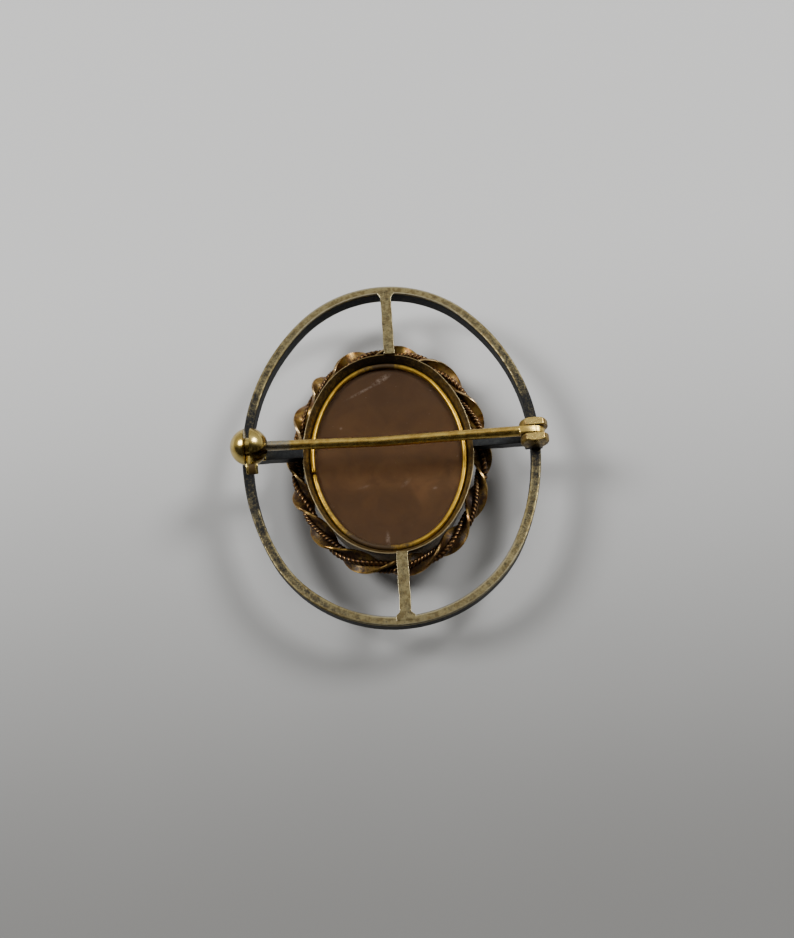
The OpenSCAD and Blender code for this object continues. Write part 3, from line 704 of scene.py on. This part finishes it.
def makeStoneFinish():
    material, w, surface = startMaterial("carvedShell")
    where = w.add("ShaderNodeTexCoord").outputs["Object"]
    place = w.scaled(where, (1000, 1000, 1000))
    xyz = w.add("ShaderNodeSeparateXYZ", None, Vector=place).outputs
    drift = w.math("MULTIPLY", w.math("SUBTRACT", w.noise(place, 0.09, 3.0, 0.5), 0.5), 9.0)
    level = w.math("ADD", xyz["Y"], drift)
    cloud = w.noise(place, 0.3, 5.0, 0.6, 0.6)
    brown = w.mix(w.ramp(level, 0.0, 9.0), (0.078, 0.035, 0.011, 1), (0.062, 0.029, 0.011, 1))
    # Painted light: a paler band just below the stem, standing in for a reflection and hiding the stem's
    # cast shadow
    paintedLightBand = w.math("MULTIPLY", w.ramp(level, -0.5, -2.5), w.ramp(level, -6.0, -3.6))
    brown = w.mix(w.math("MULTIPLY", paintedLightBand, 0.6), brown, (0.15, 0.073, 0.025, 1))
    brown = w.mix(w.ramp(level, -4.0, -11.0), brown, (0.065, 0.030, 0.011, 1))
    brown = w.mix(w.math("MULTIPLY", w.ramp(cloud, 0.35, 0.7), 0.5), brown, (0.042, 0.018, 0.006, 1))
    speck = w.ramp(w.noise(place, 2.6, 3.0, 0.6), 0.70, 0.76)
    pale = w.math("MULTIPLY", speck, 0.3)
    broken = w.ramp(w.noise(place, 2.2, 6.0, 0.75), 0.38, 0.62)
    for x, y, turn, length, width, strength in stone["marks"]:
        local = w.add("ShaderNodeMapping", {"vector_type": "TEXTURE"}, Vector=place, Location=(x, y, 0),
                      Rotation=(0, 0, radians(turn)), Scale=(length / 2, width / 2, 100)).outputs[0]
        away = w.add("ShaderNodeVectorMath", {"operation": "LENGTH"}, i0=local).outputs["Value"]
        mark = w.math("MULTIPLY", w.ramp(away, 1.0, 0.1), broken)
        pale = w.math("MAXIMUM", pale, w.math("MULTIPLY", mark, strength))
    brown = w.mix(pale, brown, (0.27, 0.21, 0.165, 1))
    carved = w.add("ShaderNodeAttribute", {"attribute_name": "edge"}).outputs["Fac"]
    petal = w.mix(w.ramp(carved, 0.25, 0.9), (0.62, 0.40, 0.28, 1), (0.86, 0.78, 0.68, 1))
    frontColour = w.mix(w.ramp(w.math("ADD", carved, w.math("MULTIPLY", cloud, 0.08)), 0.08, 0.26),
                        (0.30, 0.11, 0.05, 1), petal)
    isBack = w.ramp(xyz["Z"], 3.6, 4.6)
    w.feed(surface.inputs["Base Color"], w.mix(isBack, frontColour, brown))
    scratch = w.noise(w.scaled(place, (1.0, 6.0, 1.0)), 1.6, 5.0, 0.7)
    rough = w.math("ADD", 0.44, w.math("MULTIPLY", w.math("SUBTRACT", scratch, 0.5), 0.25))
    rough = w.math("ADD", rough, w.math("MULTIPLY", pale, 0.3), True)
    w.feed(surface.inputs["Roughness"], rough)
    surface.inputs["Specular IOR Level"].default_value = 0.14
    # Shell lets some light through
    surface.inputs["Subsurface Weight"].default_value = 0.85
    surface.inputs["Subsurface Radius"].default_value = (1.0, 0.75, 0.6)
    surface.inputs["Subsurface Scale"].default_value = 5 * mm
    soft = w.noise(place, 2.0, 4.0)
    height = w.math("ADD", w.math("MULTIPLY", scratch, 0.4), w.math("MULTIPLY", soft, 0.6))
    relief = w.add("ShaderNodeBump", None, Strength=0.2, Distance=0.05 * mm, Height=height)
    w.feed(surface.inputs["Normal"], relief.outputs["Normal"])
    return material


dress(buildStone(), makeStoneFinish(), "mount", ["cameo"], 50)
print("stone is carved")


# Ball catch: a fixed dome, and a turning dome with its drum and tab

catch = {
    "ballX": -16.3, "ballRadius": 2.15, "grooveLeft": -16.71, "grooveWidth": 0.72, "capEnd": -14.271,
    "capExtra": 0.05, "drumRadius": 1.05,
    "spigotRadius": 0.7, "spigotLength": 0.85, "mouth": 1.3, "mouthAngle": 30, "runGap": 0.06,
    "footLength": 0.9, "padThickness": 0.25, "padLength": 1.0, "tabLength": 1.0, "tabWidth": 1.35,
    "tabThickness": 0.3, "tabCurl": 75, "rootThickness": 0.5, "rootRise": 0.12,
}
catchAxis = (0, 0, levels["stem"])
capStart = catch["grooveLeft"] + catch["grooveWidth"]
holeRadius = catch["mouth"] / 2 + 0.05
pointX = capStart + 0.3     # where the stem's point ends
holeEnd = pointX - catch["runGap"]


# Box that cuts the slot from the axis outwards
def slotCutter(start, end):
    reach = catch["ballRadius"] * 2
    cutter = block("slot", (start, -reach, -catch["mouth"] / 2), (end, 0, catch["mouth"] / 2))
    cutter.rotation_euler = (radians(-catch["mouthAngle"]), 0, 0)
    cutter.location = Vector(catchAxis) * mm
    applyPlace(cutter)
    return cutter


def buildCatchBody():
    middle, radius, groove = catch["ballX"], catch["ballRadius"], catch["grooveLeft"]
    shell = [(middle - radius * cos(a), radius * sin(a)) for a in np.linspace(0.002, pi, 60)]
    shell = [p for p in shell if p[0] < groove - 0.06]
    rim = sqrt(radius ** 2 - (groove - middle) ** 2)
    shell += [(groove - 0.05, rim - 0.005), (groove - 0.015, rim - 0.03), (groove, rim - 0.075)]
    shell.append((groove, 0.01))
    dome = turned("catchBody", shell, catchAxis)
    boreEnd = groove - catch["spigotLength"] - catch["runGap"]
    boreRadius = catch["spigotRadius"] + catch["runGap"]
    bore = turned("bore", [(boreEnd, onAxis), (boreEnd, boreRadius), (groove + 0.5, boreRadius),
                           (groove + 0.5, onAxis)], catchAxis, steps=48)
    cutAway(dome, bore)
    arm, low = ring["armWidth"] / 2, levels["ringBack"] - solderDepth
    foot = block("foot", (groove - catch["footLength"], -arm, low),
                 (groove - 0.02, arm, levels["stem"] - 0.9))
    pad = block("pad", (middle - catch["padLength"], -arm - 0.06, low),
                (catch["capEnd"] - 0.4, arm + 0.06, levels["ringBack"] + catch["padThickness"]))
    bevelEdges(foot, 0.07, 2)
    bevelEdges(pad, 0.12, 3)
    return joinInto(dome, [foot, pad])


def buildCatchLever():
    middle, radius = catch["ballX"], catch["ballRadius"] + catch["capExtra"]
    start, end = capStart, catch["capEnd"]
    rim = sqrt(radius ** 2 - (start - middle) ** 2)
    far = sqrt(radius ** 2 - (end - middle) ** 2)
    profile = [(start, onAxis), (start, rim - 0.07), (start + 0.02, rim - 0.02)]
    profile += [(x, sqrt(radius ** 2 - (x - middle) ** 2))
                for x in np.linspace(start + 0.07, end - 0.07, 14)]
    profile += [(end - 0.02, far + 0.01), (end, far - 0.05), (end, onAxis)]
    dome = turned("catchLever", profile, catchAxis)
    hole = turned("hole", [(holeEnd, onAxis), (holeEnd, holeRadius), (end + 1, holeRadius),
                           (end + 1, onAxis)], catchAxis, steps=48)
    cutAway(dome, hole)
    cutAway(dome, slotCutter(holeEnd, end + 1))
    groove, gap = catch["grooveLeft"], catch["runGap"]
    spigotEnd, spigot, wide = groove - catch["spigotLength"], catch["spigotRadius"], catch["drumRadius"]
    drum = turned("drum", [(spigotEnd, onAxis), (spigotEnd, spigot), (groove + gap, spigot),
                           (groove + gap, wide - 0.04), (groove + gap + 0.04, wide), (start + 0.05, wide),
                           (start + 0.1, onAxis)], catchAxis)
    rootY = -radius - gap
    rootTop = levels["stem"] + catch["rootRise"]
    root = block("root", (groove + gap, rootY, rootTop - catch["rootThickness"]),
                 (start - gap, -0.8, rootTop))
    bevelEdges(root, 0.06, 2)
    tab = buildTab(groove + gap, rootY, rootTop)
    return joinInto(dome, [drum, root, tab])


# Curled thumb tab: rows of a rounded section that turn over a quarter circle
def buildTab(left, rootY, rootTop):
    outer, thick, wide = catch["tabLength"], catch["tabThickness"], catch["tabWidth"]
    section, edge = roundedSection(0, thick, 0, wide, 0.1, 3, 3)
    section = np.array(section)
    rows = []
    for a in np.radians(np.linspace(-4, catch["tabCurl"], 16)):
        end = max(0, (np.degrees(a) - catch["tabCurl"] + 12) / 12)
        spread = 1 - 0.25 * end ** 2
        reach = outer - thick + section[:, 0] * (1 - 0.4 * end ** 2) + 0.02
        x = left + wide / 2 + (section[:, 1] - wide / 2) * spread
        rows.append(np.stack([x, rootY - reach * sin(a), rootTop - outer + reach * cos(a)], -1))
    return skin("tab", rows, loop=False, edge=0.9 * np.array(edge) - 1.0)


dress(buildCatchBody(), catchGilt, "mount", ["frame"])
dress(buildCatchLever(), catchGilt, "lever", ["catch_lever"])
print("catch is made")


# Hinge: two round ears on a base plate, and the pin through them

hinge = {
    "x": 16.25, "y": -0.288, "earRadius": 1.62, "earThickness": 0.85, "tangThickness": 0.95,
    "gap": 0.06, "pinRadius": 0.45, "neckShare": 0.62, "baseThickness": 0.4,
    "rounding": 0.3,    # wear on the ears' outer rims
    "flat": 1.27,       # height of the ears' filed tops over their middle
    "inset": 0.06,      # how far the base and the pin's ends lie back from the ears' faces
    # Paleness of the filed tops, painted shade on the round faces, and darkness of the solder at the foot
    "topWear": 0.8, "faceShade": -0.3, "solderWear": -1.3,
}
hingeAxis = (hinge["x"], hinge["y"], levels["rivet"])


def earProfile(start, outerSide):
    thick, radius, worn = hinge["earThickness"], hinge["earRadius"], hinge["rounding"]
    arc = [(worn * (1 - sin(a)), radius - worn * (1 - cos(a))) for a in np.linspace(pi / 2, 0, 7)]
    profile = [(0, onAxis)] + arc + [(thick - 0.04, radius), (thick, radius - 0.05), (thick, onAxis)]
    if outerSide > 0:
        profile = [(thick - d, r) for d, r in profile[::-1]]
    return [(start + d, r) for d, r in profile]


def buildEars():
    inner = hinge["tangThickness"] / 2 + hinge["gap"]
    thick, radius = hinge["earThickness"], hinge["earRadius"]
    low = levels["ringBack"] - solderDepth
    neck, inset = radius * hinge["neckShare"], hinge["inset"]
    parts = []
    for side in (1, -1):
        start = inner if side > 0 else -inner - thick
        ear = turned("ear", earProfile(start, side), hingeAxis, "Y", 120)
        for vertex in ear.data.vertices:
            vertex.co.z = min(vertex.co.z, (levels["rivet"] + hinge["flat"]) * mm)
        parts.append(ear)
        post = block("neck", (hinge["x"] - neck, hinge["y"] + start + inset, low),
                     (hinge["x"] + neck, hinge["y"] + start + thick - inset, levels["rivet"]))
        bevelEdges(post, 0.08, 2)
        parts.append(post)
    reach = inner + thick - inset * 1.5
    base = block("base", (hinge["x"] - neck - 0.03, hinge["y"] - reach, low),
                 (hinge["x"] + neck + 0.03, hinge["y"] + reach, levels["ringBack"] + hinge["baseThickness"]))
    bevelEdges(base, 0.12, 3)
    ears = joinInto(parts[0], parts[1:] + [base])
    ears.name = "jointEars"
    wearAndShadeEars(ears)
    return ears


# The filed tops are worn bright, the round faces get painted shade, and the solder at the foot is darkest
def wearAndShadeEars(ears):
    edgeValues = ears.data.attributes.new("edge", "FLOAT", "POINT")
    top = levels["rivet"] + hinge["flat"] - 0.01
    foot = levels["ringBack"] + hinge["baseThickness"]
    for vertex, edgeValue in zip(ears.data.vertices, edgeValues.data):
        height = vertex.co.z / mm
        solder = min(1, max(0, (foot + 0.35 - height) / 0.4))
        edgeValue.value = hinge["topWear"] if height > top else (
            hinge["faceShade"] + (hinge["solderWear"] - hinge["faceShade"]) * solder)


def buildRivet():
    half = hinge["tangThickness"] / 2 + hinge["gap"] + hinge["earThickness"] - hinge["inset"]
    r = hinge["pinRadius"]
    profile = [(-half, onAxis), (-half, r - 0.08), (-half + 0.03, r - 0.02), (-half + 0.08, r),
               (half - 0.08, r), (half - 0.03, r - 0.02), (half, r - 0.08), (half, onAxis)]
    return turned("rivet", profile, hingeAxis, "Y", 40)


dress(buildEars(), hingeGilt, "mount", ["frame"])
dress(buildRivet(), hingeGilt, "mount", ["rivet"])
print("hinge is made")


# Pin stem: flattened round its hinge pin, round along its length, bent a little and pointed

stem = {
    "thickness": 1.19, "lean": 0.5, "bend": 2.25, "run": 17.5, "taper": 1.4, "point": 0.6,
    "eyeRadius": 1.21, "eyeTop": 1.3, "eyeLength": 1.9, "eyePlay": 0.04, "start": 1.7, "shoulder": 0.12,
    "sides": 32,
    "bareFrom": 27.3,   # past this distance from the hinge the gilt has worn off
}


# Flat block round the hinge pin, drawn from the side and given its thickness along Y
def buildEye():
    radius, top, length = stem["eyeRadius"], stem["eyeTop"], stem["eyeLength"]
    turn = np.radians(np.linspace(180, 450, 40))
    outline = [(radius * cos(a), radius * sin(a)) for a in turn]
    outline += [(-0.2, top), (-length + 0.25, top), (-length + 0.07, top - 0.07), (-length, top - 0.25)]
    outline.append((-length, 0.1))
    side = np.array([(hinge["x"] + x, 0, levels["rivet"] + z) for x, z in outline])
    half = hinge["tangThickness"] / 2 - stem["eyePlay"]
    rows = [side + np.array([0, hinge["y"] + y, 0]) for y in (-half, half)]
    eye = skin("eye", rows, loop=False)
    bevelEdges(eye, 0.09, 3, 40)
    return eye


def buildStem():
    lean, bend = radians(stem["lean"]), radians(stem["bend"])
    bendAt = np.array([hinge["x"] - stem["run"] * cos(lean), hinge["y"] - stem["run"] * sin(lean)])
    total = stem["run"] + (bendAt[0] - pointX) / cos(bend - lean)
    point = stem["point"] / 2
    start = stem["start"] + stem["shoulder"] * (1 - np.cos(np.linspace(0, pi / 2, 6)))
    tip = total - point + point * np.sin(np.linspace(0, pi / 2 - 0.03, 8))
    place = np.concatenate([start, np.linspace(stem["start"] + 0.3, total - stem["taper"], 90),
                            np.linspace(total - stem["taper"] + 0.1, total - point - 0.02, 16), tip])
    around = np.arange(stem["sides"]) * tau / stem["sides"]
    rows, bare = [], []
    for s in place:
        past = s - stem["run"]
        x, y, heading = hinge["x"] - s * cos(lean), hinge["y"] - s * sin(lean), -lean
        if past > 0:
            heading = bend - lean
            x, y = bendAt[0] - past * cos(heading), bendAt[1] + past * sin(heading)
        radius = stem["thickness"] / 2 - 0.02 * min(1, max(0, past))
        fromTip = total - s
        share = max(0, min(1, (fromTip - point) / stem["taper"]))
        radius = min(radius, point + (radius - point) * share ** 0.7)
        if fromTip < point:
            radius = point * sqrt(max(1e-6, 1 - ((point - fromTip) / point) ** 2))
        shoulder = min(1, (s - stem["start"]) / stem["shoulder"])
        radius *= 0.8 + 0.2 * sqrt(1 - (1 - shoulder) ** 2)
        side = radius * np.cos(around)
        rows.append(np.stack([x + side * sin(heading), y + side * cos(heading),
                              levels["stem"] + radius * np.sin(around)], -1))
        bare.append(np.full(stem["sides"], min(1, max(0, (s - stem["bareFrom"]) / 0.8))))
    bar = skin("pinStem", rows, loop=False, edge=np.array(bare))
    return joinInto(bar, [buildEye()])


dress(buildStem(), stemGilt, "pin", ["pin_stem"])
print("stem is made")


# Floor, lights and camera

studio = {
    # Floor colour, and the darker near colour, which is painted shade where less light reaches
    "floorColour": (0.60, 0.60, 0.596, 1), "nearFloorShade": (0.19, 0.188, 0.182, 1),
    "world": 0.55, "worldBright": (1.0, 0.985, 0.95, 1), "worldDark": (0.05, 0.045, 0.04, 1),
    "leftLight": {"bearing": 166, "height": 44, "distance": 0.6, "size": 0.21, "power": 3.1},
    "rightLight": {"bearing": 32, "height": 45, "distance": 0.6, "size": 0.21, "power": 2.75},
    "farLight": {"bearing": 85, "height": 62, "distance": 0.5, "size": 0.45, "power": 0.12},
    "camera": {"place": (1.393, -48.921, 124.673), "turn": (21.273, 1.853, -3.444), "lens": 42.217},
}


def addFloor():
    deselectAll()
    bpy.ops.mesh.primitive_plane_add(size=4, location=(0, 0, 0))
    floor = bpy.context.object
    floor.name = "floor"
    material, w, surface = startMaterial("paleFloor")
    place = w.scaled(w.add("ShaderNodeTexCoord").outputs["Object"], (1000, 1000, 1000))
    away = w.add("ShaderNodeSeparateXYZ", None, Vector=place).outputs["Y"]
    away = w.math("ADD", away, w.math("MULTIPLY", w.noise(place, 0.02, 2.0), 8.0))
    # Painted shade: the floor darkens towards the near side, standing in for the fall of the light
    w.feed(surface.inputs["Base Color"],
           w.mix(w.ramp(away, -50.0, 38.0), studio["nearFloorShade"], studio["floorColour"]))
    surface.inputs["Roughness"].default_value = 0.75
    floor.data.materials.append(material)


def addLight(name, bearing, height, distance, size, power):
    data = bpy.data.lights.new(name, "AREA")
    data.shape = "DISK"
    data.size = size
    data.energy = power
    light = bpy.data.objects.new(name, data)
    bpy.context.scene.collection.objects.link(light)
    a, h = radians(bearing), radians(height)
    towards = Vector((cos(a) * cos(h), sin(a) * cos(h), sin(h)))
    light.location = towards * distance
    light.rotation_euler = towards.to_track_quat("Z", "Y").to_euler()


def addWorld():
    world = bpy.data.worlds.new("studio")
    bpy.context.scene.world = world
    world.use_nodes = True
    w = Wiring(world.node_tree)
    sky = w.add("ShaderNodeTexCoord").outputs["Generated"]
    xyz = w.add("ShaderNodeSeparateXYZ", None, Vector=sky).outputs
    overhead = w.math("MULTIPLY", w.ramp(xyz["Z"], 0.8, 1.0), 0.4)
    tone = w.math("MULTIPLY", w.ramp(xyz["Y"], -0.15, 0.25), w.math("SUBTRACT", 1.0, overhead))
    shade = w.mix(tone, studio["worldDark"], studio["worldBright"])
    background = world.node_tree.nodes["Background"]
    w.feed(background.inputs["Color"], shade)
    background.inputs["Strength"].default_value = studio["world"]


def addCamera():
    data = bpy.data.cameras.new("camera")
    data.lens = studio["camera"]["lens"]
    data.sensor_width = 36
    data.clip_start = 0.005
    camera = bpy.data.objects.new("camera", data)
    bpy.context.scene.collection.objects.link(camera)
    camera.location = Vector(studio["camera"]["place"]) * mm
    camera.rotation_euler = [radians(a) for a in studio["camera"]["turn"]]
    bpy.context.scene.camera = camera


addFloor()
for name in ("leftLight", "rightLight", "farLight"):
    addLight(name, **studio[name])
addWorld()
addCamera()
print("floor, lights and camera are set")
